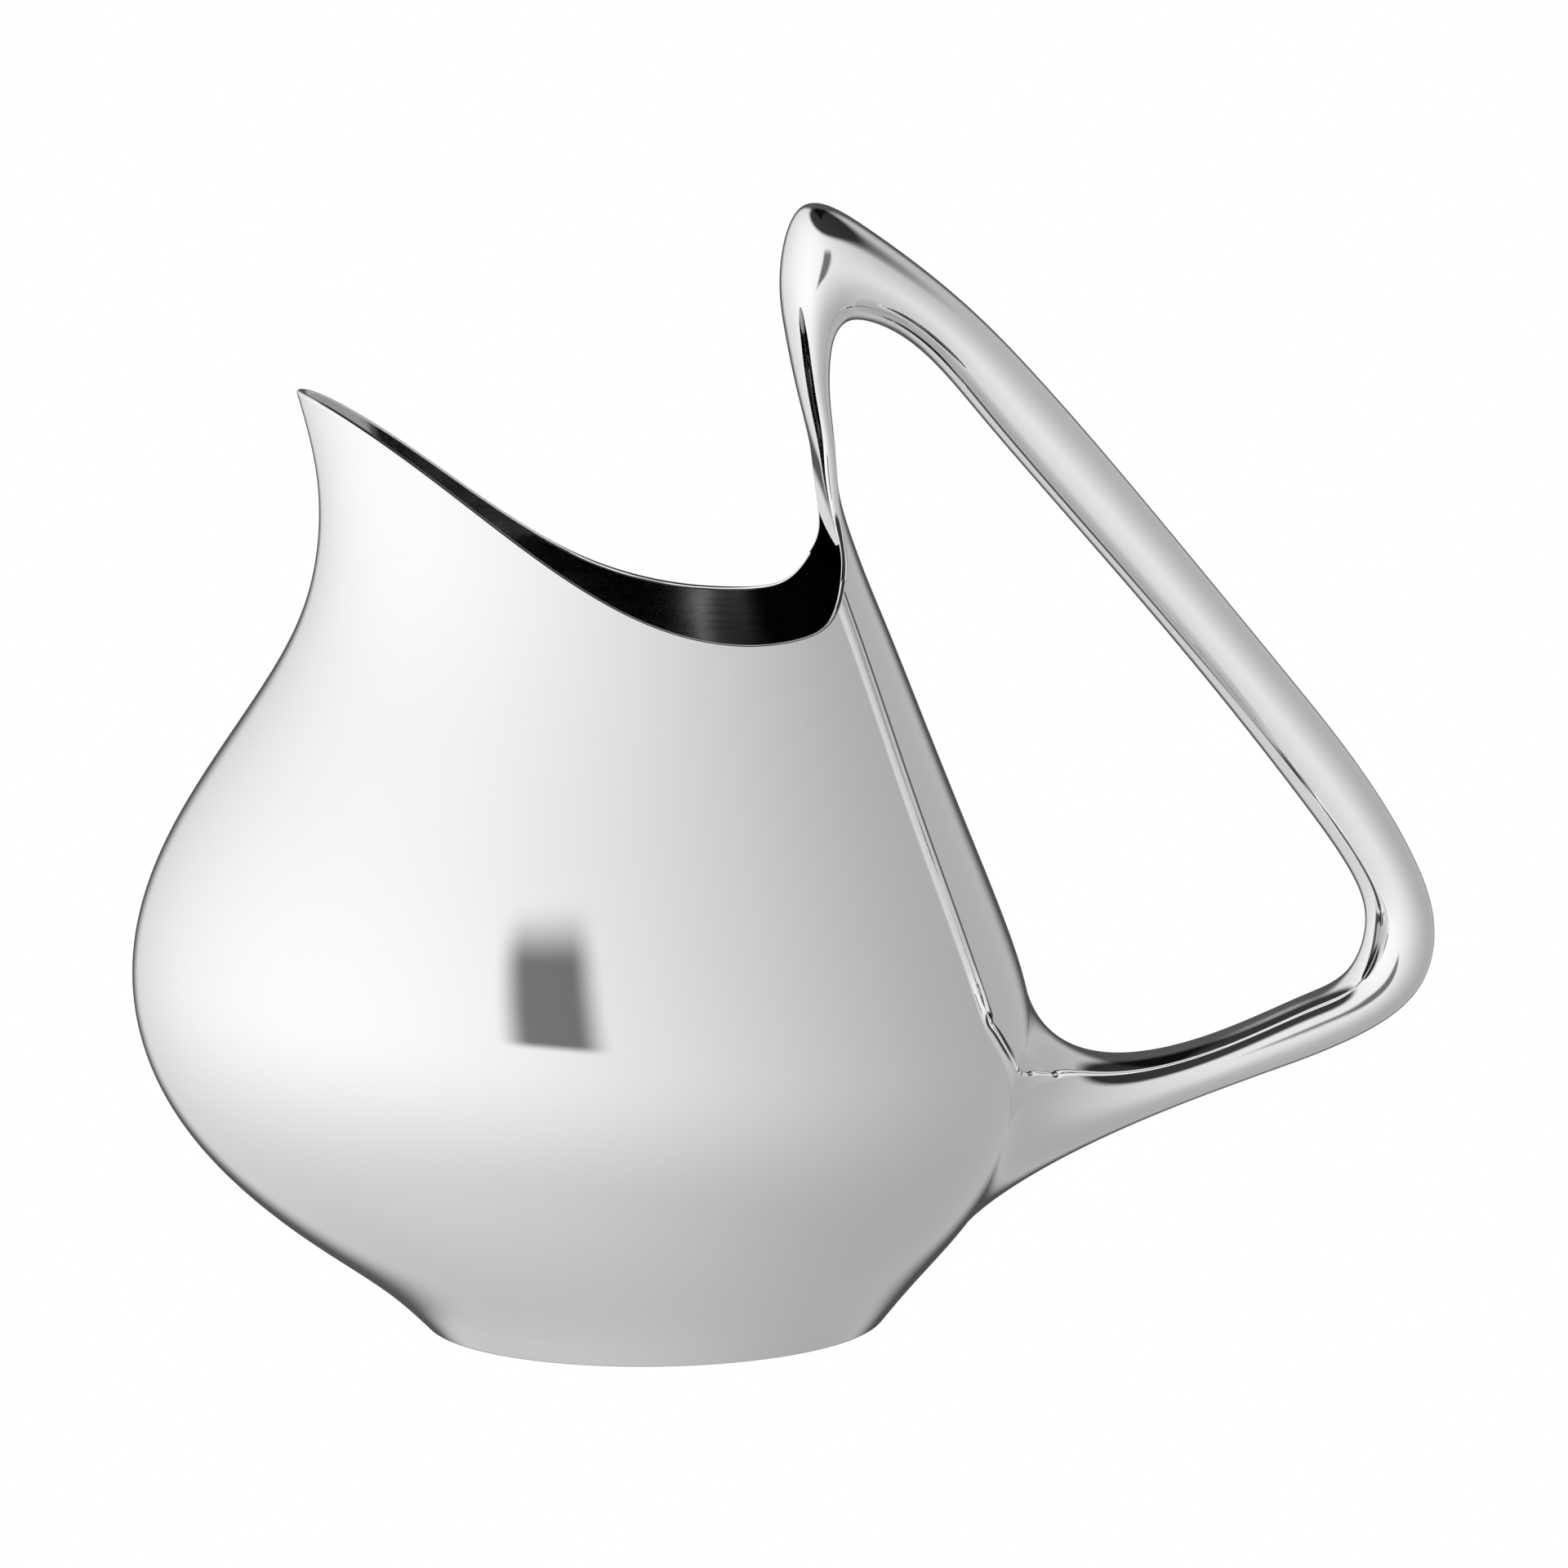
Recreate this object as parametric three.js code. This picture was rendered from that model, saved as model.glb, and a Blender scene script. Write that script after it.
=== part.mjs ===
// A polished sheet-metal water pitcher: an asymmetrical belly, a mouth that rises into a pointed
// spout, and a closed loop handle that grows out of the back wall and flares into the belly.
// Millimetres, +Z up. The spout points along -X and the handle along +X. Y = 0 is the mirror plane.
import * as THREE from "three";
import { mergeVertices } from "three/addons/utils/BufferGeometryUtils.js";

// ---------------------------------------------------------------- driving dimensions
const WALL = 1.2; // sheet thickness of the body and the handle
const GAP = 0.3; // clearance at every joint between two pieces
const OVERALL_MIDDLE_X = 1.5; // middle of the overall length, in the drawing's own X
const FOOT_HEIGHT = 5; // height of the foot ring
const FOOT_LAND = 7; // width of the foot ring, measured inwards
const PLATE_THICKNESS = 1.5;
const PLATE_UNDERSIDE = 2.6; // the plate is set this far above the table
const STRAP_HEIGHT = 149.4; // where the body's back wall ends and the strap goes on
const STRAP_ANGLE = 151.5; // degrees round from the spout to the strap's edge

const BODY_COLUMNS = 20; // facets round one half of the body, up to the strap
const STRAP_COLUMNS = 4; // facets round one half of the strap's foot
const BODY_ROWS = 16;
const RING_POINTS = 16; // points round a section of the handle
const FOOT_POINTS = 64;
const TONGUE_STEPS = 14;
const SHELL_STEPS = 44;
const ROOT_STEPS = 12;

// Body profile: height, front X, back X, half width, and how far the plan narrows to the spout.
const BODY_PROFILE = [
  [0, -70.8, 19.3, 39.5, 0],
  [8, -79.2, 25.8, 46, 0],
  [20, -95.6, 36, 57, 0],
  [40, -116.7, 46.5, 69.5, 0],
  [60, -126.4, 48.6, 74, 0],
  [80, -126.9, 43, 72.5, 0],
  [100, -119.5, 35, 66.3, 0],
  [120, -106.7, 27, 57.4, 0],
  [140, -94.7, 19, 48.2, 0.01],
  [155, -90.8, 13.2, 42, 0.03],
  [170, -91, 10, 37, 0.06],
  [186, -94.8, 9, 33, 0.1],
];

// Rim: degrees round from the spout, height.
const RIM_PROFILE = [
  [0, 185.3],
  [25, 182.8],
  [50, 172.7],
  [75, 157.2],
  [95, 145.9],
  [112, 141.1],
  [128, 140.7],
  [140, 143],
  [STRAP_ANGLE, STRAP_HEIGHT],
];

// Handle sections: X and Z of the side that faces the loop, X and Z of the outer side, half width,
// and how far the edges curl forward. They run from the strap, over the top and down to the lower
// arm, and the last two carry the arm's line on inside the flared root.
const HANDLE_SECTIONS = [
  [15.3, 149.4, 14.1, 149.4, 21.3, 6],
  [13, 155, 11.6, 155, 14.6, 3.6],
  [11.5, 160, 9.6, 160, 10.2, 2],
  [10.2, 166, 7.4, 166, 8, 0.8],
  [9.6, 174, 5, 174.6, 7.4, 0],
  [8.8, 183, 2.4, 185, 8.3, 0],
  [9, 191, 0.2, 196, 10, 0],
  [10.5, 195.6, -0.5, 208.5, 11, 0],
  [13.2, 197.4, 3.4, 219.3, 11.3, 0],
  [19.2, 196.2, 16, 215.4, 10.6, 0],
  [38.9, 178.1, 48.3, 187.5, 9, 0],
  [65, 148, 75.1, 156.6, 8.5, 0],
  [91.5, 116.3, 101.5, 124.7, 8.4, 0],
  [104.6, 99.4, 115.6, 106.6, 8.3, 0],
  [112.9, 87.6, 125.7, 90.2, 8.2, 0],
  [117.1, 76.4, 130.7, 74.7, 8.2, 0],
  [114.4, 66.9, 127.2, 61.8, 8.1, 0],
  [105.2, 61.3, 111.5, 51.4, 7.8, 0],
  [92.5, 56.1, 96.4, 46, 7.6, 0],
  [80, 51.5, 84, 41.7, 8, 0],
  [60, 44, 64, 34.8, 9, 0],
  [38, 36.5, 42, 27.5, 10, 0],
];
const TONGUE_END = 5; // index of the section where the solid tongue meets the hollow handle
const ROOT_START = 18; // index of the section where the hollow handle meets the flared root

// Flared root: where it spreads over the back of the belly.
const ROOT_REACH = 52; // how far the arm's line is carried on into the flare
const ROOT_HEIGHT_NEAR = 37; // height of the flare's middle where the arm points
const ROOT_HEIGHT_FAR = 43; // and at its outer edge
const ROOT_RISE = 31; // half the flare's height on the belly
const ROOT_SPREAD = 0.46; // half the flare's angle round the belly, in radians
const ROOT_CORE = 0.15; // share of that spread where the flare starts

// Foot ring section: distance inwards, height, and the height at which the body's skin is followed.
const FOOT_SECTION = [
  [0, FOOT_HEIGHT - GAP, FOOT_HEIGHT - GAP],
  [0, 2.6, 2.6],
  [0.5, 1.2, 1.2],
  [1.6, 0.3, 0],
  [2.6, 0, 0],
  [FOOT_LAND - 1, 0, 0],
  [FOOT_LAND, 1, 0],
  [FOOT_LAND, FOOT_HEIGHT - GAP, 0],
];

// ---------------------------------------------------------------- curves
// Natural cubic spline through rows of values; returns a function that gives one row.
function naturalSpline(knots, rows) {
  const last = knots.length - 1;
  const step = knots.slice(1).map((k, i) => k - knots[i]);
  const bend = rows[0].map((_, column) => {
    const upper = new Array(last + 1).fill(0);
    const right = new Array(last + 1).fill(0);
    for (let i = 1; i < last; i++) {
      const after = (rows[i + 1][column] - rows[i][column]) / step[i];
      const before = (rows[i][column] - rows[i - 1][column]) / step[i - 1];
      const pivot = 2 * (step[i - 1] + step[i]) - step[i - 1] * upper[i - 1];
      upper[i] = step[i] / pivot;
      right[i] = (6 * (after - before) - step[i - 1] * right[i - 1]) / pivot;
    }
    const second = new Array(last + 1).fill(0);
    for (let i = last - 1; i > 0; i--) second[i] = right[i] - upper[i] * second[i + 1];
    return second;
  });
  return (at) => {
    let i = 0;
    while (i < last - 1 && at >= knots[i + 1]) i++;
    const h = step[i];
    const t = at - knots[i];
    const u = h - t;
    return rows[i].map((_, c) => {
      const curved = (bend[c][i] * u ** 3 + bend[c][i + 1] * t ** 3) / (6 * h);
      const low = (rows[i][c] / h - (bend[c][i] * h) / 6) * u;
      const high = (rows[i + 1][c] / h - (bend[c][i + 1] * h) / 6) * t;
      return curved + low + high;
    });
  };
}

const radians = THREE.MathUtils.degToRad;
const lerp = THREE.MathUtils.lerp;
const range = (count) => Array.from({ length: count }, (_, i) => i);

const bodyLaw = naturalSpline(
  BODY_PROFILE.map((row) => row[0]),
  BODY_PROFILE.map((row) => row.slice(1)),
);
const rimLaw = naturalSpline(
  RIM_PROFILE.map((row) => radians(row[0])),
  RIM_PROFILE.map((row) => [row[1]]),
);

// Outer skin of the body: angle 0 is the spout and PI the back, on the +Y side.
function skin(angle, z) {
  const [front, back, halfWidth, pinch] = bodyLaw(z);
  const c = Math.cos(angle);
  const x = (front + back) / 2 - ((back - front) / 2) * c;
  return new THREE.Vector3(x, halfWidth * Math.sin(angle) * (1 - pinch * c), z);
}

// The skin moved along its outward normal.
function skinOffset(angle, z, distance) {
  const small = 1e-3;
  const round = skin(angle + small, z).sub(skin(angle - small, z));
  const up = skin(angle, z + small).sub(skin(angle, z - small));
  const normal = up.cross(round).normalize();
  return skin(angle, z).addScaledVector(normal, distance);
}

const rimHeight = (angle) => (angle < radians(STRAP_ANGLE) ? rimLaw(angle)[0] : STRAP_HEIGHT);

// Running length along the handle's middle line, one value for each section.
const handleChord = HANDLE_SECTIONS.reduce((lengths, row, i) => {
  if (i === 0) return [0];
  const before = HANDLE_SECTIONS[i - 1];
  const dx = (row[0] + row[2] - before[0] - before[2]) / 2;
  const dz = (row[1] + row[3] - before[1] - before[3]) / 2;
  return [...lengths, lengths[i - 1] + Math.hypot(dx, dz)];
}, []);
const handleLaw = naturalSpline(handleChord, HANDLE_SECTIONS);

// One point of a handle section. Turn 0 faces the loop, PI faces outwards, and PI / 2 is +Y.
// A thin section is a flat strip with round edges, and a thick one is an oval.
function handlePoint(along, turn, inset = 0) {
  const [loopX, loopZ, outerX, outerZ, width, curl] = handleLaw(along);
  const across = new THREE.Vector3(outerX - loopX, 0, outerZ - loopZ);
  const depth = across.length() / 2;
  across.normalize();
  const squareness = 2 + 0.5 * (width / depth - 1);
  const side = Math.sin(turn);
  const fullness = Math.sqrt(Math.max(0, 1 - Math.abs(side) ** squareness));
  const face = -Math.sign(Math.cos(turn)) * fullness;
  return new THREE.Vector3((loopX + outerX) / 2, 0, (loopZ + outerZ) / 2)
    .addScaledVector(across, face * (depth - inset) + curl * side * side)
    .add(new THREE.Vector3(0, side * (width - inset), 0));
}

// One point of the flared root. Share 0 is the arm's end and 1 the flare's edge on the belly.
function rootPoint(share, turn, inset, height) {
  const arm = handlePoint(handleChord[ROOT_START] + ROOT_REACH * share, turn, inset);
  const spread = lerp(ROOT_CORE, 1, share) - inset / ROOT_RISE;
  const z = lerp(ROOT_HEIGHT_NEAR, ROOT_HEIGHT_FAR, share) + ROOT_RISE * spread * Math.cos(turn);
  const angle = Math.PI - ROOT_SPREAD * spread * Math.sin(turn);
  const belly = skinOffset(angle, z, height);
  return arm.lerp(belly, THREE.MathUtils.smootherstep(share, 0, 1));
}

// ---------------------------------------------------------------- solids
// Triangles of a flat ring of points, by ear cutting in the ring's own plane.
function capTriangles(ring) {
  const normal = new THREE.Vector3();
  ring.forEach((p, i) => normal.add(p.clone().cross(ring[(i + 1) % ring.length])));
  normal.normalize();
  const helper = Math.abs(normal.y) < 0.9 ? new THREE.Vector3(0, 1, 0) : new THREE.Vector3(1, 0, 0);
  const u = helper.cross(normal).normalize();
  const v = normal.clone().cross(u);
  const flat = ring.map((p) => new THREE.Vector2(p.dot(u), p.dot(v)));
  return THREE.ShapeUtils.triangulateShape(flat, []);
}

// A closed body through a row of rings: its two ends are capped, or the last joins the first.
function throughRings(rings, joined = false) {
  const count = rings[0].length;
  const points = rings.flat();
  const faces = [];
  range(joined ? rings.length : rings.length - 1).forEach((r) => {
    const here = r * count;
    const there = ((r + 1) % rings.length) * count;
    range(count).forEach((i) => {
      const j = (i + 1) % count;
      faces.push([here + i, here + j, there + j], [here + i, there + j, there + i]);
    });
  });
  if (!joined) {
    const end = (rings.length - 1) * count;
    capTriangles(rings[0]).forEach(([a, b, c]) => faces.push([a, c, b]));
    capTriangles(rings.at(-1)).forEach(([a, b, c]) => faces.push([end + a, end + b, end + c]));
  }
  const volume = faces.reduce(
    (sum, [a, b, c]) => sum + points[a].dot(points[b].clone().cross(points[c])),
    0,
  );
  const index = faces.flatMap(([a, b, c]) => (volume < 0 ? [a, c, b] : [a, b, c]));
  const geometry = new THREE.BufferGeometry().setFromPoints(points).setIndex(index);
  return mergeVertices(geometry);
}

// The other half of a mirrored pair.
function mirrored(geometry) {
  const other = geometry.clone();
  const index = other.getIndex();
  other.scale(1, -1, 1);
  for (let i = 0; i < index.count; i += 3) {
    const kept = index.getX(i + 1);
    index.setX(i + 1, index.getX(i + 2));
    index.setX(i + 2, kept);
  }
  return other;
}

// ---------------------------------------------------------------- pieces
// One pressed half of the body, from the foot ring to the rim.
function bodyHalf() {
  const edge = radians(STRAP_ANGLE);
  const angles = [
    ...range(BODY_COLUMNS).map((i) => (edge * i) / BODY_COLUMNS),
    ...range(STRAP_COLUMNS + 1).map((i) => edge + ((Math.PI - edge) * i) / STRAP_COLUMNS),
  ];
  const rings = angles.map((angle) => {
    const heights = range(BODY_ROWS + 1).map((i) =>
      lerp(FOOT_HEIGHT, rimHeight(angle), i / BODY_ROWS),
    );
    const outside = heights.map((z) => skin(angle, z));
    const inside = heights.map((z) => {
      const point = skinOffset(angle, z, -WALL);
      return point.setZ(z);
    });
    return [...outside, ...inside.reverse()];
  });
  return throughRings(rings).translate(0, GAP / 2, 0);
}

// The solid ring that the body stands on: a flat land with a rounded outer corner.
function footRing() {
  const middle = (bodyLaw(0)[0] + bodyLaw(0)[1]) / 2;
  const rings = range(FOOT_POINTS).map((i) => {
    const angle = (2 * Math.PI * i) / FOOT_POINTS;
    return FOOT_SECTION.map(([inwards, z, skinHeight]) => {
      const point = skin(angle, skinHeight);
      const flat = Math.hypot(point.x - middle, point.y);
      const scale = 1 - inwards / flat;
      return new THREE.Vector3(middle + (point.x - middle) * scale, point.y * scale, z);
    });
  });
  return throughRings(rings, true);
}

// The flat plate that closes the bottom, inside the foot ring.
function basePlate() {
  const [front, back, halfWidth] = bodyLaw(0);
  const inset = FOOT_LAND + GAP;
  const outline = new THREE.Shape();
  outline.absellipse(0, 0, (back - front) / 2 - inset, halfWidth - inset, 0, 2 * Math.PI);
  const geometry = new THREE.ExtrudeGeometry(outline, {
    depth: PLATE_THICKNESS,
    bevelEnabled: false,
    curveSegments: FOOT_POINTS / 2,
  });
  return geometry.translate((front + back) / 2, 0, PLATE_UNDERSIDE);
}

const turns = (count, whole) => range(count).map((i) => (whole * i) / count);

// The solid tongue: a strip as thin as the wall that thickens into the handle's oval.
function handleTongue() {
  const end = handleChord[TONGUE_END] - GAP;
  const rings = range(TONGUE_STEPS + 1).map((i) => {
    const along = lerp(GAP, end, i / TONGUE_STEPS);
    return turns(2 * RING_POINTS, 2 * Math.PI).map((turn) => handlePoint(along, turn));
  });
  return throughRings(rings);
}

// One pressed half of the hollow handle, open at both ends.
function handleHalf() {
  const start = handleChord[TONGUE_END];
  const end = handleChord[ROOT_START] - GAP;
  const rings = range(SHELL_STEPS + 1).map((i) => {
    const along = lerp(start, end, i / SHELL_STEPS);
    const halfTurns = range(RING_POINTS / 2 + 1).map((k) => (2 * Math.PI * k) / RING_POINTS);
    const outside = halfTurns.map((turn) => handlePoint(along, turn));
    const inside = halfTurns.map((turn) => handlePoint(along, turn, WALL));
    return [...outside, ...inside.reverse()];
  });
  return throughRings(rings).translate(0, GAP / 2, 0);
}

// The hollow flared root that carries the arm's oval into the belly.
function handleRoot() {
  const shares = range(ROOT_STEPS + 1).map((i) => i / ROOT_STEPS);
  const ring = (share, inset, height) =>
    turns(2 * RING_POINTS, 2 * Math.PI).map((turn) => rootPoint(share, turn, inset, height));
  const outside = shares.map((share) => ring(share, 0, GAP + WALL));
  const inside = shares.map((share) => ring(share, WALL, GAP)).reverse();
  return throughRings([...outside, ...inside], true);
}

// ---------------------------------------------------------------- the assembly
const pitcher = new THREE.Group();
pitcher.position.x = -OVERALL_MIDDLE_X;

const polished = { color: 0xd2d3d4, roughness: 0.06, metalness: 1 };
const satin = { color: 0xb9babb, roughness: 0.35, metalness: 1 };

function add(name, geometry, finish) {
  const mesh = new THREE.Mesh(geometry, new THREE.MeshStandardMaterial(finish));
  mesh.name = name;
  mesh.geometry.computeVertexNormals();
  pitcher.add(mesh);
}

const half = bodyHalf();
add("body_right_half", half, polished);
add("body_left_half", mirrored(half), polished);
add("foot_ring", footRing(), polished);
add("base_plate", basePlate(), satin);
add("handle_tongue", handleTongue(), polished);
const shell = handleHalf();
add("handle_right_shell", shell, polished);
add("handle_left_shell", mirrored(shell), polished);
add("handle_root", handleRoot(), polished);

export default pitcher;
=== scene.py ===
"""A polished sheet-metal water pitcher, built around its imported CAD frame.

Lengths are drawn in millimetres and turned into metres when a mesh is made. The spout points
along -X, the handle along +X, and Y = 0 is the mirror plane.
"""

import math

import bpy
import numpy as np
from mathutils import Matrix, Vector


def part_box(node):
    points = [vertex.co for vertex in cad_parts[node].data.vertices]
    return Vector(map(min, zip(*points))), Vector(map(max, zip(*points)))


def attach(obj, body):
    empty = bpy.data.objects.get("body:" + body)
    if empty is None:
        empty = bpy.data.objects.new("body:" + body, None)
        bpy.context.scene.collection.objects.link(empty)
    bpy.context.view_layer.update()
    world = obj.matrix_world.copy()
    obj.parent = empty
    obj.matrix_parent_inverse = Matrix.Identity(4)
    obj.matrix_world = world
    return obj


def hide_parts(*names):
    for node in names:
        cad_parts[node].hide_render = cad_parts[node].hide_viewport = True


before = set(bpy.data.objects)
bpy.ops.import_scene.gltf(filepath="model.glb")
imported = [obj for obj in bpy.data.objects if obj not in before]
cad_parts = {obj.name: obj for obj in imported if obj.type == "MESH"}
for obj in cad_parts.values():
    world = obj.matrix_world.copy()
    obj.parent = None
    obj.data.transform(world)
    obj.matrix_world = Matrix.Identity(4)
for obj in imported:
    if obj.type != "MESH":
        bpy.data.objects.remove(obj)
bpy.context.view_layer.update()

# ------------------------------------------------------------------ driving dimensions
MM = 0.001
WALL = 1.2
FOOT_HEIGHT = 5.0
FOOT_LAND = 7.0
FOOT_CORNER = 1.5
PLATE_THICKNESS = 1.5
PLATE_UNDERSIDE = 2.6
STRAP_HEIGHT = 149.4
STRAP_ANGLE = 151.5
ROLL_CROSSING = 1.1  # how many degrees further round the rolled rim meets the strap's joint

# Height, front X, back X, half width, and how far the plan narrows to the spout.
BODY_PROFILE = np.array([
    [0, -70.8, 19.3, 39.5, 0],
    [8, -79.2, 25.8, 46, 0],
    [20, -95.6, 36, 57, 0],
    [40, -116.7, 46.5, 69.5, 0],
    [60, -126.4, 48.6, 74, 0],
    [80, -126.9, 43, 72.5, 0],
    [100, -119.5, 35, 66.3, 0],
    [120, -106.7, 27, 57.4, 0],
    [140, -94.7, 19, 48.2, 0.01],
    [155, -90.8, 13.2, 42, 0.03],
    [170, -91, 10, 37, 0.06],
    [186, -94.8, 9, 33, 0.1],
])

# Degrees round from the spout, height of the rim.
RIM_PROFILE = np.array([
    [0, 185.3],
    [25, 182.8],
    [50, 172.7],
    [75, 157.2],
    [95, 145.9],
    [112, 141.1],
    [128, 140.7],
    [140, 143],
    [STRAP_ANGLE, STRAP_HEIGHT],
])

# X and Z of the side that faces the loop, X and Z of the outer side, half width, forward curl.
HANDLE_SECTIONS = np.array([
    [15.3, 149.4, 14.1, 149.4, 21.3, 6],
    [13, 155, 11.6, 155, 14.6, 3.6],
    [11.5, 160, 9.6, 160, 10.2, 2],
    [10.2, 166, 7.4, 166, 8, 0.8],
    [9.6, 174, 5, 174.6, 7.4, 0],
    [8.8, 183, 2.4, 185, 8.3, 0],
    [9, 191, 0.2, 196, 10, 0],
    [10.5, 195.6, -0.5, 208.5, 11, 0],
    [13.2, 197.4, 3.4, 219.3, 11.3, 0],
    [19.2, 196.2, 16, 215.4, 10.6, 0],
    [38.9, 178.1, 48.3, 187.5, 9, 0],
    [65, 148, 75.1, 156.6, 8.5, 0],
    [91.5, 116.3, 101.5, 124.7, 8.4, 0],
    [104.6, 99.4, 115.6, 106.6, 8.3, 0],
    [112.9, 87.6, 125.7, 90.2, 8.2, 0],
    [117.1, 76.4, 130.7, 74.7, 8.2, 0],
    [114.4, 66.9, 127.2, 61.8, 8.1, 0],
    [105.2, 61.3, 111.5, 51.4, 7.8, 0],
    [92.5, 56.1, 96.4, 46, 7.6, 0],
    [80, 51.5, 84, 41.7, 8, 0],
    [60, 44, 64, 34.8, 9, 0],
    [38, 36.5, 42, 27.5, 10, 0],
])
TONGUE_END = 5
ROOT_START = 18

ROOT_REACH = 52.0
ROOT_HEIGHT_NEAR = 37.0
ROOT_HEIGHT_FAR = 43.0
ROOT_RISE = 31.0
ROOT_SPREAD = 0.46
ROOT_CORE = 0.15
TUCK = 0.03  # the flare's last edge dips this far under the belly's skin

STRAP_BLEND = 16.0  # along this much of the strap it turns from the body's wall into a bar
STRIP_RATIO = 0.1  # a section no deeper than this share of its half width is a flat strip
BAR_RATIO = 0.45  # and from this share on it is a full oval

# How many points the skins are drawn with.
BODY_ROWS = 150
RIM_COLUMNS = 170
STRAP_COLUMNS = 24
ROLL_POINTS = 15
TONGUE_STEPS = 90
TONGUE_TURNS = 161
SHELL_STEPS = 340
SHELL_TURNS = 65
ROOT_STEPS = 110
ROOT_TURNS = 193
FOOT_TURNS = 257
FOOT_ROWS = 12
CORNER_POINTS = 10
DISC_TURNS = 129
DISC_RINGS = 20
TURN_CROWDING = 0.36


# ------------------------------------------------------------------ curves and surfaces
def natural_spline(knots, values):
    """Natural cubic spline through rows of values; returns a function of an array."""
    knots = np.asarray(knots, float)
    values = np.asarray(values, float).reshape(len(knots), -1)
    step = np.diff(knots)
    count = len(knots)
    system = np.eye(count)
    right = np.zeros_like(values)
    for i in range(1, count - 1):
        system[i, i - 1] = step[i - 1]
        system[i, i] = 2 * (step[i - 1] + step[i])
        system[i, i + 1] = step[i]
        rise = (values[i + 1] - values[i]) / step[i] - (values[i] - values[i - 1]) / step[i - 1]
        right[i] = 6 * rise
    bend = np.linalg.solve(system, right)

    def at(where):
        where = np.asarray(where, float)
        i = np.clip(np.searchsorted(knots, where, side="right") - 1, 0, count - 2)
        h = step[i][..., None]
        t = (where - knots[i])[..., None]
        u = h - t
        curved = (bend[i] * u**3 + bend[i + 1] * t**3) / (6 * h)
        low = (values[i] / h - bend[i] * h / 6) * u
        high = (values[i + 1] / h - bend[i + 1] * h / 6) * t
        return curved + low + high

    return at


def smoothstep(t):
    """0 up to t = 0 and 1 from t = 1 on, smooth between."""
    t = np.clip(t, 0, 1)
    return t**3 * (t * (6 * t - 15) + 10)


def unit(v):
    """Vectors scaled to length 1."""
    return v / np.maximum(np.linalg.norm(v, axis=-1, keepdims=True), 1e-12)


body_law = natural_spline(BODY_PROFILE[:, 0], BODY_PROFILE[:, 1:])
rim_law = natural_spline(np.radians(RIM_PROFILE[:, 0]), RIM_PROFILE[:, 1])


def skin(angle, z):
    """Outer skin of the body: angle 0 is the spout and pi the back, on the +Y side."""
    angle, z = np.broadcast_arrays(angle, z)
    front, back, half, pinch = np.moveaxis(body_law(z), -1, 0)
    c = np.cos(angle)
    x = (front + back) / 2 - (back - front) / 2 * c
    return np.stack([x, half * np.sin(angle) * (1 - pinch * c), z], -1)


def surface_normal(surface, u, v, small_u=1e-4, small_v=1e-3):
    """Unit normal of surface(u, v), from differences across the point."""
    along_u = surface(u + small_u, v) - surface(u - small_u, v)
    along_v = surface(u, v + small_v) - surface(u, v - small_v)
    return unit(np.cross(along_u, along_v))


def skin_normal(angle, z):
    """Unit normal of the body's skin, outwards."""
    return -surface_normal(skin, angle, z)


handle_middle = (HANDLE_SECTIONS[:, 0:2] + HANDLE_SECTIONS[:, 2:4]) / 2
handle_chord = np.append(0, np.cumsum(np.hypot(*np.diff(handle_middle, axis=0).T)))
handle_law = natural_spline(handle_chord, HANDLE_SECTIONS)


def skin_setback(y, z):
    """How far forward of its backmost line the body's skin lies at a given Y."""
    front, back, half, pinch = np.moveaxis(body_law(z), -1, 0)
    c = -np.ones_like(y)
    for _ in range(6):
        s = np.clip(y / (half * (1 - pinch * c)), -0.999, 0.999)
        c = -np.sqrt(1 - s * s)
    return (back - front) / 2 * (1 + c)


def handle(along, turn):
    """The handle's skin. Turn 0 faces the loop, pi faces outwards, and pi / 2 is +Y."""
    along, turn = np.broadcast_arrays(along, turn)
    loop_x, loop_z, outer_x, outer_z, width, curl = np.moveaxis(handle_law(along), -1, 0)
    own = smoothstep(along / STRAP_BLEND)  # 0 where the strap is still the body's own wall
    back = body_law(loop_z)[..., 1]
    shift = (1 - own) * (back - loop_x)
    loop_x = loop_x + shift
    outer_x = outer_x + shift
    across = np.stack([outer_x - loop_x, 0 * loop_x, outer_z - loop_z], -1)
    depth = np.linalg.norm(across, axis=-1) / 2
    across = unit(across)
    side = np.sin(turn)
    facing = np.cos(turn)
    narrowing = (handle_law(along + 0.01) - handle_law(along - 0.01))[..., 4] / 0.02
    cap = depth * np.sqrt(1 + narrowing**2 * (1 - own))
    edge = np.clip((width * (1 - np.abs(side)) - cap) / cap, -1, 0)
    strip = np.sqrt(np.maximum(1 - edge**2, 0))
    oval = np.abs(facing)
    rounded = (depth / width - STRIP_RATIO) / (BAR_RATIO - STRIP_RATIO)
    fullness = strip + (oval - strip) * smoothstep(rounded)
    wanted_curl = curl * side**2
    wall_curl = skin_setback(np.abs(side) * width, loop_z)
    bend = wall_curl + (wanted_curl - wall_curl) * own
    centre = np.stack([(loop_x + outer_x) / 2, 0 * loop_x, (loop_z + outer_z) / 2], -1)
    offset = -np.sign(facing) * fullness * depth + bend
    point = centre + across * offset[..., None]
    return point + np.stack([0 * loop_x, side * width, 0 * loop_x], -1)


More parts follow.
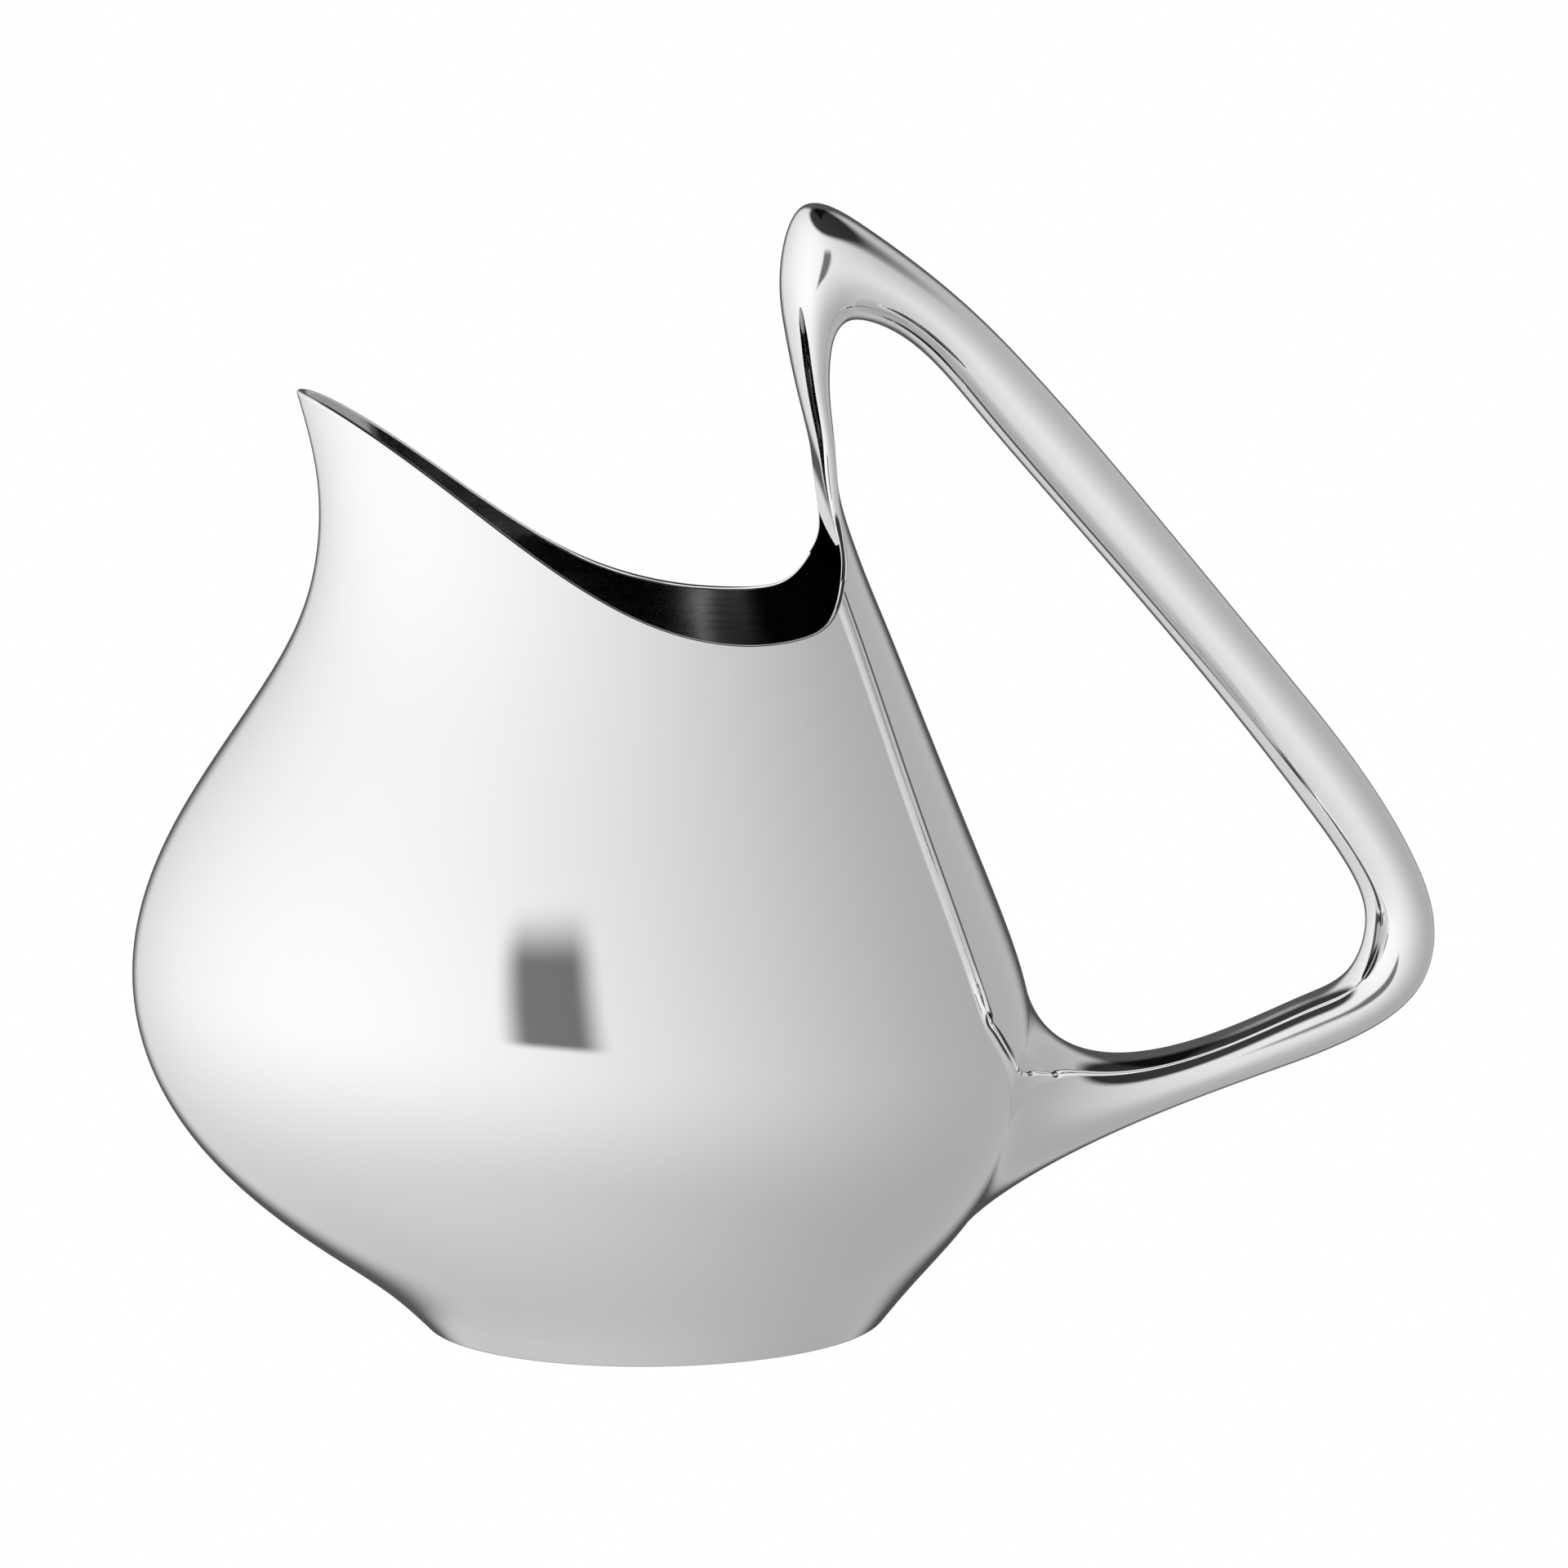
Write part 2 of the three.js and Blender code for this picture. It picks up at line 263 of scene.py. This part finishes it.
def root(share, turn):
    """The flared root's skin, from the arm (share 0) to the belly (share 1)."""
    share, turn = np.broadcast_arrays(share, turn)
    arm = handle(handle_chord[ROOT_START] + ROOT_REACH * share, turn)
    spread = ROOT_CORE + (1 - ROOT_CORE) * share
    height = ROOT_HEIGHT_NEAR + (ROOT_HEIGHT_FAR - ROOT_HEIGHT_NEAR) * share
    z = height + ROOT_RISE * spread * np.cos(turn)
    angle = np.pi - ROOT_SPREAD * spread * np.sin(turn)
    belly = skin(angle, z) - TUCK * skin_normal(angle, z) * (share**4)[..., None]
    return arm + (belly - arm) * smoothstep(share)[..., None]


# ------------------------------------------------------------------ mesh making
# Drawing X to frame X, from where the CAD body's front lies.
front_line = skin(np.zeros(400), np.linspace(FOOT_HEIGHT, 180, 400))[:, 0].min()
SHIFT_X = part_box("body_left_half")[0].x / MM - front_line


class Sheets:
    """Collects grids of points with their normals and welds them into one mesh."""

    def __init__(self):
        self.points = []
        self.faces = []
        self.normals = []
        self.inside = []
        self.count = 0

    def grid(self, points, normals, loop_u=False, loop_v=False, inside=False):
        """points[u, v]; the faces look along the normals. Inside marks the belly's lining."""
        rows, columns = points.shape[:2]
        index = np.arange(rows * columns).reshape(rows, columns) + self.count
        if loop_u:
            index = np.concatenate([index, index[:1]], 0)
        if loop_v:
            index = np.concatenate([index, index[:, :1]], 1)
        quads = np.stack([index[:-1, :-1], index[1:, :-1], index[1:, 1:], index[:-1, 1:]], -1)
        quads = quads.reshape(-1, 4)
        flat_points = points.reshape(-1, 3)
        flat_normals = unit(normals.reshape(-1, 3))
        local = quads - self.count
        one = flat_points[local[:, 2]] - flat_points[local[:, 0]]
        two = flat_points[local[:, 3]] - flat_points[local[:, 1]]
        looks = np.einsum("ij,ij->i", np.cross(one, two), flat_normals[local].sum(1))
        quads[looks < 0] = quads[looks < 0][:, ::-1]
        self.points.append(flat_points)
        self.normals.append(flat_normals)
        self.faces.append(quads)
        self.inside.append(np.full(len(quads), float(inside)))
        self.count += rows * columns

    def mesh(self, name, mirror=False):
        """The welded mesh with its own normals, mirrored in Y = 0 if asked."""
        points = np.concatenate(self.points)
        normals = np.concatenate(self.normals)
        faces = np.concatenate(self.faces)
        lining = np.concatenate(self.inside)
        if mirror:
            points = points * [1, -1, 1]
            normals = normals * [1, -1, 1]
            faces = faces[:, ::-1]
        _, first, weld = np.unique(
            np.round(points, 4), axis=0, return_index=True, return_inverse=True
        )
        weld = weld.reshape(-1)
        welded = weld[faces]
        corners, corner_normals, sizes, marks = [], [], [], []
        for old, new, mark in zip(faces, welded, lining):
            keep = [k for k in range(4) if new[k] != new[k - 1]]
            if len(set(new[keep])) < 3:
                continue
            corners.extend(new[keep])
            corner_normals.extend(normals[old[keep]])
            sizes.append(len(keep))
            marks.append(mark)
        place = (points[first] + [SHIFT_X, 0, 0]) * MM
        data = bpy.data.meshes.new(name)
        data.vertices.add(len(place))
        data.vertices.foreach_set("co", place.astype(np.float32).ravel())
        data.loops.add(len(corners))
        data.loops.foreach_set("vertex_index", np.array(corners, np.int32))
        data.polygons.add(len(sizes))
        starts = np.append(0, np.cumsum(sizes)[:-1]).astype(np.int32)
        data.polygons.foreach_set("loop_start", starts)
        data.polygons.foreach_set("use_smooth", np.ones(len(sizes), bool))
        data.attributes.new("lining", "FLOAT", "FACE").data.foreach_set("value", marks)
        data.update(calc_edges=True)
        data.normals_split_custom_set(np.array(corner_normals, np.float32))
        return data


def piece(name, sheets, material, replaced, mirror=False):
    """Make a visible piece that rides on the part's body in place of a CAD node."""
    data = sheets.mesh(name, mirror)
    obj = bpy.data.objects.new(name, data)
    bpy.context.scene.collection.objects.link(obj)
    data.materials.append(material)
    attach(obj, "root")
    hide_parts(replaced)


def flat(points, direction):
    """The same normal for every point."""
    return np.broadcast_to(np.asarray(direction, float), points.shape)


# ------------------------------------------------------------------ pieces
def body_half_sheets():
    """One half of the body: both skins, the rolled rim, and the cut edges."""
    edge = np.radians(STRAP_ANGLE)
    crossing = np.radians(STRAP_ANGLE + ROLL_CROSSING)
    low_rows = np.linspace(0, 1, BODY_ROWS)
    roll = WALL / 2
    sheets = Sheets()

    rim_angles = np.linspace(0, edge, RIM_COLUMNS)
    top = rim_law(rim_angles)[:, 0] - roll
    rim_z = FOOT_HEIGHT + (top[:, None] - FOOT_HEIGHT) * low_rows
    rim_a = np.broadcast_to(rim_angles[:, None], rim_z.shape)

    strap_z = FOOT_HEIGHT + (STRAP_HEIGHT - roll - FOOT_HEIGHT) * low_rows
    strap_z = np.append(strap_z, STRAP_HEIGHT)
    first = np.append(np.full(low_rows.size, edge), crossing)
    strap_a = first + (np.pi - first) * np.linspace(0, 1, STRAP_COLUMNS)[:, None]
    strap_z = np.broadcast_to(strap_z, strap_a.shape)

    for a, z in ((rim_a, rim_z), (strap_a, strap_z)):
        out = skin_normal(a, z)
        outside = skin(a, z)
        inside = outside - WALL * out
        sheets.grid(outside, out)
        sheets.grid(inside, -out, inside=True)
        bottom = np.stack([outside[:, 0], inside[:, 0]], 1)
        sheets.grid(bottom, flat(bottom, (0, 0, -1)))
    joint = np.stack([outside[:, -1], inside[:, -1]], 1)
    sheets.grid(joint, flat(joint, (0, 0, 1)))

    rim = skin(rim_angles, top)
    out = skin_normal(rim_angles, top)
    tangent = unit(np.gradient(rim, axis=0))
    up = unit(np.cross(tangent, out))
    up = up * np.sign(up[:, 2:3])
    arc = np.linspace(0, np.pi, ROLL_POINTS)[None, :, None]
    round_normal = np.cos(arc) * out[:, None] + np.sin(arc) * up[:, None]
    tube = (rim - out * roll)[:, None] + round_normal * roll
    slide = (STRAP_HEIGHT - tube[-1, :, 2:3]) / tangent[-1, 2]
    tube = np.concatenate([tube, tube[-1:] + slide * tangent[-1]])
    round_normal = np.concatenate([round_normal, round_normal[-1:]])
    sheets.grid(tube, round_normal)

    for angle, tall in ((0, top[0]), (np.pi, STRAP_HEIGHT)):
        z = np.linspace(FOOT_HEIGHT, tall, BODY_ROWS)
        outside = skin(angle + 0 * z, z)
        cut = np.stack([outside, outside - WALL * skin_normal(angle + 0 * z, z)], 1)
        sheets.grid(cut, flat(cut, (0, -1, 0)))
    return sheets


def dense_turns(start, end, count):
    """Turns that crowd where the handle's section is sharpest, at its two sides."""
    t = np.linspace(start, end, count)
    return t + TURN_CROWDING * np.sin(2 * t)


def tube_normals(surface, steps, turns):
    """Outward normals of a tube, from the way its points lie about their middle."""
    u, v = np.meshgrid(steps, turns, indexing="ij")
    normals = surface_normal(surface, u, v, 1e-3, 1e-3)
    points = surface(u, v)
    middle = (surface(steps, 0 * steps) + surface(steps, 0 * steps + np.pi)) / 2
    outwards = np.einsum("ijk,ijk->ij", normals, points - middle[:, None])
    return points, normals * np.sign(outwards.sum())


def tongue_sheets():
    """The solid strap from the back wall up to the hollow handle."""
    sheets = Sheets()
    steps = np.linspace(0, handle_chord[TONGUE_END], TONGUE_STEPS)
    turns = dense_turns(0, 2 * np.pi, TONGUE_TURNS)[:-1]
    points, normals = tube_normals(handle, steps, turns)
    sheets.grid(points, normals, loop_v=True)
    for end, towards in ((0, -1), (-1, 1)):
        ring = points[end]
        cap = np.stack([ring, np.broadcast_to(ring.mean(0), ring.shape)], 1)
        along = points[-1].mean(0) - points[-2].mean(0)
        sheets.grid(cap, flat(cap, along * towards), loop_u=True)
    return sheets


def hollow_sheets(surface, steps, turns, thickness, loop):
    """A tube's outer and inner skin, closed at its ends and along its sides."""
    sheets = Sheets()
    points, normals = tube_normals(surface, steps, turns)
    inner = points - normals * thickness[:, None, None]
    sheets.grid(points, normals, loop_v=loop)
    sheets.grid(inner, -normals, loop_v=loop)
    for end, before in ((0, 1), (-1, -2)):
        strip = np.stack([points[end], inner[end]], 1)
        away = unit(points[end].mean(0) - points[before].mean(0))
        sheets.grid(strip, flat(strip, away), loop_u=loop)
    if not loop:
        for side in (0, -1):
            strip = np.stack([points[:, side], inner[:, side]], 1)
            sheets.grid(strip, flat(strip, (0, -1, 0)))
    return sheets


def handle_half_sheets():
    """One pressed half of the hollow handle."""
    steps = np.linspace(handle_chord[TONGUE_END], handle_chord[ROOT_START], SHELL_STEPS)
    turns = np.linspace(0, np.pi, SHELL_TURNS)
    return hollow_sheets(handle, steps, turns, 0 * steps + WALL, loop=False)


def root_sheets():
    """The flared root, whose wall thins out towards the belly."""
    shares = np.linspace(0, 1, ROOT_STEPS)
    turns = np.linspace(0, 2 * np.pi, ROOT_TURNS)[:-1]
    return hollow_sheets(root, shares, turns, WALL * (1 - shares**2), loop=True)


def foot_inner_edge(angle):
    """The inner edge of the foot's land at Z = 0, and its middle."""
    outer = skin(angle, 0 * angle)
    middle = np.array([body_law(0)[0:2].mean(), 0, 0])
    away = outer - middle
    reach = np.linalg.norm(away, axis=-1, keepdims=True)
    return middle + away * (1 - FOOT_LAND / reach), middle


def foot_sheets():
    """The ring the body stands on: its wall, a rounded corner and a flat land."""
    sheets = Sheets()
    angle = np.linspace(0, 2 * np.pi, FOOT_TURNS)[:-1]
    start = np.full(angle.size, FOOT_CORNER / 2)
    for _ in range(6):
        start = FOOT_CORNER * (1 + skin_normal(angle, start)[:, 2])
    z = start[:, None] + (FOOT_HEIGHT - start[:, None]) * np.linspace(0, 1, FOOT_ROWS)
    a = np.broadcast_to(angle[:, None], z.shape)
    wall = skin(a, z)
    out = skin_normal(a, z)
    sheets.grid(wall, out, loop_u=True)
    t = np.linspace(0, 1, CORNER_POINTS)[None, :, None]
    bend = unit(out[:, :1] * (1 - t) + np.array([0, 0, -1]) * t)
    corner = (wall[:, 0] - out[:, 0] * FOOT_CORNER)[:, None] + bend * FOOT_CORNER
    sheets.grid(corner, bend, loop_u=True)
    inner, middle = foot_inner_edge(angle)
    land = np.stack([corner[:, -1], inner], 1)
    sheets.grid(land, flat(land, (0, 0, -1)), loop_u=True)
    raised = inner + [0, 0, FOOT_HEIGHT]
    sheets.grid(np.stack([inner, raised], 1), np.stack([middle - inner] * 2, 1), loop_u=True)
    top = np.stack([raised, wall[:, -1]], 1)
    sheets.grid(top, flat(top, (0, 0, 1)), loop_u=True)
    return sheets


def disc_sheets():
    """The flat plate that closes the bottom."""
    sheets = Sheets()
    inner, middle = foot_inner_edge(np.linspace(0, 2 * np.pi, DISC_TURNS)[:-1])
    reach = np.linspace(0, 1, DISC_RINGS)[None, :, None]
    face = middle + (inner[:, None] - middle) * reach
    for z, towards in ((PLATE_UNDERSIDE, -1), (PLATE_UNDERSIDE + PLATE_THICKNESS, 1)):
        level = face + [0, 0, z]
        sheets.grid(level, flat(level, (0, 0, towards)), loop_u=True)
    low = inner + [0, 0, PLATE_UNDERSIDE]
    side = np.stack([low, low + [0, 0, PLATE_THICKNESS]], 1)
    sheets.grid(side, np.stack([inner - middle] * 2, 1), loop_u=True)
    return sheets


# ------------------------------------------------------------------ node helpers
class Field:
    """A number in a node tree, to be worked with like a plain one."""

    def __init__(self, tree, socket):
        self.tree = tree
        self.socket = socket

    def put(self, operation, *others):
        """This value put through a maths node."""
        node = self.tree.nodes.new("ShaderNodeMath")
        node.operation = operation
        for slot, value in zip(node.inputs, (self, *others)):
            connect(self.tree, value, slot)
        return Field(self.tree, node.outputs[0])

    def __add__(self, other):
        return self.put("ADD", other)

    def __sub__(self, other):
        return self.put("SUBTRACT", other)

    def __mul__(self, other):
        return self.put("MULTIPLY", other)

    def rise(self, start, end):
        """0 up to start and 1 from end on, smooth between."""
        node = self.tree.nodes.new("ShaderNodeMapRange")
        node.interpolation_type = "SMOOTHSTEP"
        for slot, value in zip(node.inputs, (self, start, end)):
            connect(self.tree, value, slot)
        return Field(self.tree, node.outputs["Result"])

    def fall(self, start, end):
        """1 up to start and 0 from end on, smooth between."""
        return self.rise(start, end) * -1 + 1

    def toward(self, other, share):
        """This value where share is 0, and the other where share is 1."""
        node = self.tree.nodes.new("ShaderNodeMix")
        for slot, value in zip((0, 2, 3), (share, self, other)):
            connect(self.tree, value, node.inputs[slot])
        return Field(self.tree, node.outputs[0])


def connect(tree, value, slot):
    """Give an input a Field or a plain number."""
    if isinstance(value, Field):
        tree.links.new(value.socket, slot)
    else:
        slot.default_value = value


# ------------------------------------------------------------------ materials
CLOUD_SCALE = 22
HAIRLINE_SCALE = 60
HAIRLINE_STRETCH = (1, 1, 26)
CROSS_SCALE = 75
CROSS_STRETCH = (24, 9, 1)
BUMP_DISTANCE = 0.00002
BUMP_STRENGTH = 0.12


def noise(tree, source, scale, detail, stretch=(1, 1, 1)):
    """A noise texture, drawn out along the axes with the smallest stretch."""
    mapping = tree.nodes.new("ShaderNodeMapping")
    mapping.inputs["Scale"].default_value = stretch
    texture = tree.nodes.new("ShaderNodeTexNoise")
    texture.inputs["Scale"].default_value = scale
    texture.inputs["Detail"].default_value = detail
    tree.links.new(source, mapping.inputs[0])
    tree.links.new(mapping.outputs[0], texture.inputs["Vector"])
    return Field(tree, texture.outputs[0])


def silver(name, tone, roughness, lining_tone, lining_roughness):
    """Polished sheet metal with faint cloudiness, hairline scratches and worn edges."""
    material = bpy.data.materials.new(name)
    material.use_nodes = True
    tree = material.node_tree
    shader = tree.nodes["Principled BSDF"]
    shader.inputs["Metallic"].default_value = 1.0
    place = tree.nodes.new("ShaderNodeTexCoord").outputs["Object"]
    clouds = noise(tree, place, CLOUD_SCALE, 3)
    streaks = noise(tree, place, HAIRLINE_SCALE, 2, HAIRLINE_STRETCH)
    cross_streaks = noise(tree, place, CROSS_SCALE, 2, CROSS_STRETCH)
    mark = tree.nodes.new("ShaderNodeAttribute")
    mark.attribute_name = "lining"
    lining = Field(tree, mark.outputs["Fac"])
    worn = Field(tree, tree.nodes.new("ShaderNodeNewGeometry").outputs["Pointiness"])
    worn = worn.rise(0.53, 0.6)

    scratches = streaks.rise(0.66, 0.74) + cross_streaks.rise(0.67, 0.75)
    brightness = clouds * 0.03 + (tone - 0.015) + worn * 0.02 - scratches * 0.015
    brushed = streaks * 0.2 + (lining_tone - 0.1)
    brightness = brightness.toward(brushed, lining)
    colour = tree.nodes.new("ShaderNodeCombineColor")
    for slot in colour.inputs[:3]:
        connect(tree, brightness, slot)
    tree.links.new(colour.outputs[0], shader.inputs["Base Color"])

    gloss = clouds * 0.012 + (roughness - 0.006) + scratches * 0.02 + worn * 0.02
    gloss = gloss.toward(streaks * 0.1 + (lining_roughness - 0.05), lining)
    tree.links.new(gloss.socket, shader.inputs["Roughness"])

    bump = tree.nodes.new("ShaderNodeBump")
    bump.inputs["Distance"].default_value = BUMP_DISTANCE
    bump.inputs["Strength"].default_value = BUMP_STRENGTH
    height = (scratches * -0.2).toward(streaks * 0.4, lining)
    tree.links.new(height.socket, bump.inputs["Height"])
    tree.links.new(bump.outputs[0], shader.inputs["Normal"])
    return material


polished = silver("polished_silver", 0.94, 0.03, 0.64, 0.12)
satin = silver("satin_silver", 0.72, 0.35, 0.6, 0.35)

# ------------------------------------------------------------------ the pitcher
body = body_half_sheets()
piece("body_right_wall", body, polished, "body_right_half")
piece("body_left_wall", body, polished, "body_left_half", mirror=True)
piece("foot_band", foot_sheets(), polished, "foot_ring")
piece("base_disc", disc_sheets(), satin, "base_plate")
piece("strap_tongue", tongue_sheets(), polished, "handle_tongue")
half = handle_half_sheets()
piece("handle_right_skin", half, polished, "handle_right_shell")
piece("handle_left_skin", half, polished, "handle_left_shell", mirror=True)
piece("handle_root_flare", root_sheets(), polished, "handle_root")

# ------------------------------------------------------------------ floor and studio
# A plain white table and backdrop, and one large soft dome that lights every piece alike.
# The dome is brightest at the front left and fades away from there. It is dark overhead, lower
# on the far side from the light, dark behind the pitcher and dimmer below, and has a soft gap
# for the camera. Angles are in degrees: azimuth 0 is the camera's side, 90 the handle's side.
scene = bpy.context.scene
scene.view_settings.view_transform = "Standard"
CAMERA_AZIMUTH = math.radians(-8)
TABLE_REACH = 10.0
DOME_RADIUS = 20.0
LIGHT_AZIMUTH = -60
MEAN_TONE = 0.74
TONE_SWING = 0.3
FLOOR_DIMMING = 0.25
BACK_DARKNESS = 0.85
ROOF_DARKNESS = 0.95
ROOF_START = 44
ROOF_END = 58
ROOF_TILT = 13  # how much higher the roof starts at the light's side
GAP_DARKNESS = 0.8


def glow(tree, strength):
    """White light of the given strength, as the tree's surface."""
    emission = tree.nodes.new("ShaderNodeEmission")
    output = tree.nodes.new("ShaderNodeOutputMaterial")
    connect(tree, strength, emission.inputs["Strength"])
    tree.links.new(emission.outputs[0], output.inputs["Surface"])


def table():
    """A plain white table that only the camera sees. The dome's lower part lights the pitcher."""
    material = bpy.data.materials.new("table")
    material.use_nodes = True
    material.node_tree.nodes.clear()
    glow(material.node_tree, 1.0)
    data = bpy.data.meshes.new("table")
    reach = TABLE_REACH
    corners = [(-reach, -reach, 0), (reach, -reach, 0), (reach, reach, 0), (-reach, reach, 0)]
    data.from_pydata(corners, [], [(0, 1, 2, 3)])
    data.materials.append(material)
    obj = bpy.data.objects.new("table", data)
    scene.collection.objects.link(obj)
    obj.visible_glossy = False
    obj.visible_diffuse = False


def backdrop():
    """The white that the camera sees beyond the table."""
    world = bpy.data.worlds.new("backdrop")
    scene.world = world
    world.use_nodes = True
    world.node_tree.nodes["Background"].inputs["Color"].default_value = (1, 1, 1, 1)
    world.cycles_visibility.glossy = False
    world.cycles_visibility.diffuse = False


def dome_tone(tree):
    """How brightly the dome glows in each direction."""
    split = tree.nodes.new("ShaderNodeSeparateXYZ")
    normalise = tree.nodes.new("ShaderNodeVectorMath")
    normalise.operation = "NORMALIZE"
    place = tree.nodes.new("ShaderNodeTexCoord").outputs["Object"]
    tree.links.new(place, normalise.inputs[0])
    tree.links.new(normalise.outputs[0], split.inputs[0])
    x, y, z = (Field(tree, socket) for socket in split.outputs)
    azimuth = x.put("ARCTAN2", y * -1) * (180 / math.pi)
    elevation = z.put("ARCSINE") * (180 / math.pi)
    light = math.radians(LIGHT_AZIMUTH)
    facing = x * math.sin(light) - y * math.cos(light)
    tone = facing * TONE_SWING + MEAN_TONE
    behind = azimuth.put("ABSOLUTE").rise(150, 166) * elevation.rise(-55, -25)
    below = elevation.fall(-60, -5)
    roof = (elevation - facing * ROOF_TILT).rise(ROOF_START, ROOF_END)
    gap = azimuth.put("ABSOLUTE").fall(5, 13) * elevation.rise(-6, -3) * elevation.fall(18, 32)
    for share, darkness in (
        (behind, BACK_DARKNESS),
        (below, FLOOR_DIMMING),
        (roof, ROOF_DARKNESS),
        (gap, GAP_DARKNESS),
    ):
        tone = tone * (share * -darkness + 1)
    return tone


def dome():
    """A far sphere round everything that only reflections and light rays see."""
    material = bpy.data.materials.new("dome")
    material.use_nodes = True
    tree = material.node_tree
    tree.nodes.clear()
    glow(tree, dome_tone(tree))
    material.cycles.emission_sampling = "NONE"
    bpy.ops.mesh.primitive_uv_sphere_add(segments=64, ring_count=32, radius=DOME_RADIUS)
    obj = bpy.context.object
    obj.name = "dome"
    obj.rotation_euler.z = CAMERA_AZIMUTH
    obj.data.materials.append(material)
    obj.visible_camera = False


table()
backdrop()
dome()

# ------------------------------------------------------------------ camera
CAMERA_ELEVATION = math.radians(9.5)
CAMERA_DISTANCE = 1.3
PICTURE_WIDTH = 0.3072  # at the pitcher
TARGET_HEIGHT = 0.10645
SENSOR_WIDTH = 36
target = Vector((SHIFT_X * MM, 0, TARGET_HEIGHT))
back = Vector((
    math.sin(CAMERA_AZIMUTH) * math.cos(CAMERA_ELEVATION),
    -math.cos(CAMERA_AZIMUTH) * math.cos(CAMERA_ELEVATION),
    math.sin(CAMERA_ELEVATION),
))
lens = bpy.data.cameras.new("camera")
lens.sensor_width = SENSOR_WIDTH
lens.lens = SENSOR_WIDTH * CAMERA_DISTANCE / PICTURE_WIDTH
camera = bpy.data.objects.new("camera", lens)
camera.location = target + back * CAMERA_DISTANCE
camera.rotation_euler = back.to_track_quat("Z", "Y").to_euler()
scene.collection.objects.link(camera)
scene.camera = camera
